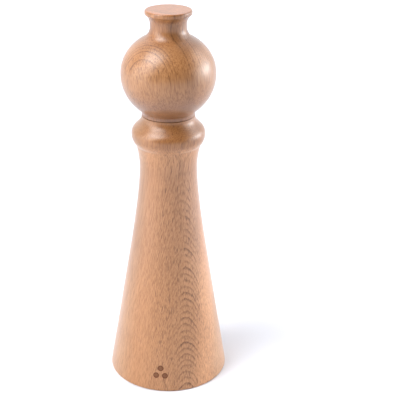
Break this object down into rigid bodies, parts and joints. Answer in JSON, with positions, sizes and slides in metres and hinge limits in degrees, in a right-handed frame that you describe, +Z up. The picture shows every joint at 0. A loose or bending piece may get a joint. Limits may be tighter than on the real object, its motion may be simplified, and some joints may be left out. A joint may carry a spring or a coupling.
{
  "type": "pepper mill",
  "caption": "Turned beech pepper mill: flared body with a collar, ball head with a flared button, and a conical ceramic grinder with an adjusting dial in the base.",
  "frame": {"origin": "centre of the foot, on the surface that the mill stands on", "axes": "+Z up along the axis of the mill; -Y is the front, where the small burnt-in dots are"},
  "size_m": [0.07, 0.07, 0.22],
  "materials": {
    "beech_body": "satin lacquered beech",
    "beech_head": "satin lacquered beech",
    "black_moulding": "fine moulded texture",
    "acetal": "natural acetal",
    "ceramic": "unglazed sintered",
    "steel": "bright",
    "aluminium": "drawn bar"
  },
  "bodies": {
    "body": {"mill_body": "beech_body", "grinder_housing": "black_moulding", "bottom_bridge": "black_moulding", "flange_screws": "steel", "stator_ring": "ceramic", "shaft_spider": "black_moulding", "spider_bush": "acetal", "detent_ball": "steel", "detent_spring": "steel"},
    "shaft": {"drive_shaft": "aluminium", "shaft_clips": "steel"},
    "head": {"mill_head": "beech_head", "drive_socket": "black_moulding", "grip_spring": "steel", "socket_screws": "steel"},
    "dial": {"adjusting_dial": "black_moulding", "dial_clip": "steel"},
    "lifter": {"lifter": "acetal", "thrust_ball": "steel"},
    "cone": {"grinding_cone": "ceramic", "cone_driver": "black_moulding", "thrust_pad": "steel", "feed_vanes": "black_moulding", "cone_spring": "steel"}
  },
  "joints": [
    {"name": "head_turn", "type": "hinge", "parent": "body", "child": "shaft", "pos_m": [0, 0, 0.039], "axis": [0, 0, 1], "continuous": true},
    {"name": "head_lift", "type": "slide", "parent": "shaft", "child": "head", "axis": [0, 0, 1], "range_m": [0, 0.08]},
    {"name": "dial_turn", "type": "hinge", "parent": "body", "child": "dial", "pos_m": [0, 0, 0.0088], "axis": [0, 0, 1], "range_deg": [-150, 150]},
    {"name": "lifter_slide", "type": "slide", "parent": "body", "child": "lifter", "axis": [0, 0, 1], "range_m": [-0.00063, 0.00063], "deforming": ["cone_spring"]},
    {"name": "cone_turn", "type": "hinge", "parent": "lifter", "child": "cone", "pos_m": [0, 0, 0.026], "axis": [0, 0, 1], "continuous": true}
  ],
  "couplings": [
    {"joint": "dial_turn", "follows": "lifter_slide", "rad_per_m": 4188.8},
    {"joint": "cone_turn", "follows": "head_turn", "ratio": 1}
  ]
}
